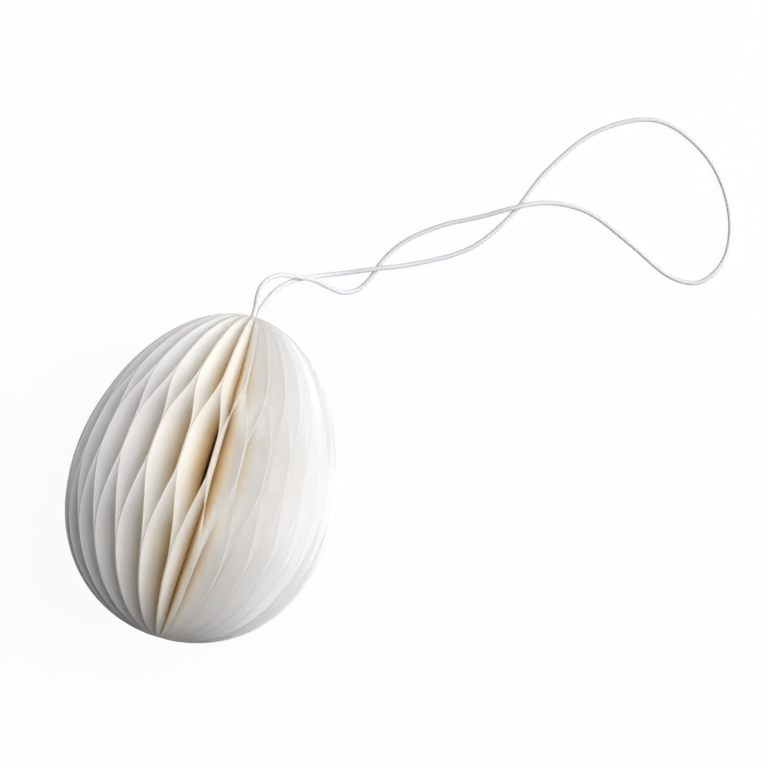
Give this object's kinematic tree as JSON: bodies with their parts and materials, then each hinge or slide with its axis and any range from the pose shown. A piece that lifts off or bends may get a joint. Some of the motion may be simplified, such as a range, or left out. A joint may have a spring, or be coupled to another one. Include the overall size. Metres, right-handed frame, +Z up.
{
  "type": "honeycomb paper egg",
  "caption": "Egg-shaped ornament of fanned honeycomb paper leaves, lying on its side with its long thin hanging cord laid out in a loose loop.",
  "frame": {"origin": "under the middle of the lying egg's box, on the surface that it lies on", "axes": "+Z up, +Y along the egg towards its pointed end, which the cord comes out of"},
  "size_m": [0.1196, 0.1341, 0.0551],
  "materials": {
    "paper": "matte uncoated ivory paper",
    "cord": "smooth white cord with a soft sheen",
    "glue": "set clear glue"
  },
  "bodies": {
    "root": {"leaf_01": "paper", "leaf_02": "paper", "leaf_03": "paper", "leaf_04": "paper", "leaf_05": "paper", "leaf_06": "paper", "leaf_07": "paper", "leaf_08": "paper", "leaf_09": "paper", "leaf_10": "paper", "leaf_11": "paper", "leaf_12": "paper", "leaf_13": "paper", "leaf_14": "paper", "leaf_15": "paper", "leaf_16": "paper", "leaf_17": "paper", "leaf_18": "paper", "leaf_19": "paper", "leaf_20": "paper", "leaf_21": "paper", "leaf_22": "paper", "leaf_23": "paper", "leaf_24": "paper", "leaf_25": "paper", "leaf_26": "paper", "leaf_27": "paper", "leaf_28": "paper", "leaf_29": "paper", "leaf_30": "paper", "leaf_31": "paper", "leaf_32": "paper", "leaf_33": "paper", "leaf_34": "paper", "leaf_35": "paper", "leaf_36": "paper", "leaf_37": "paper", "leaf_38": "paper", "leaf_39": "paper", "leaf_40": "paper", "leaf_41": "paper", "leaf_42": "paper", "leaf_43": "paper", "leaf_44": "paper", "leaf_45": "paper", "leaf_46": "paper", "leaf_47": "paper", "leaf_48": "paper", "leaf_49": "paper", "leaf_50": "paper", "leaf_51": "paper", "leaf_52": "paper", "leaf_53": "paper", "leaf_54": "paper", "leaf_55": "paper", "leaf_56": "paper", "leaf_57": "paper", "leaf_58": "paper", "hanging_cord": "cord", "cord_glue": "glue"}
  },
  "joints": []
}
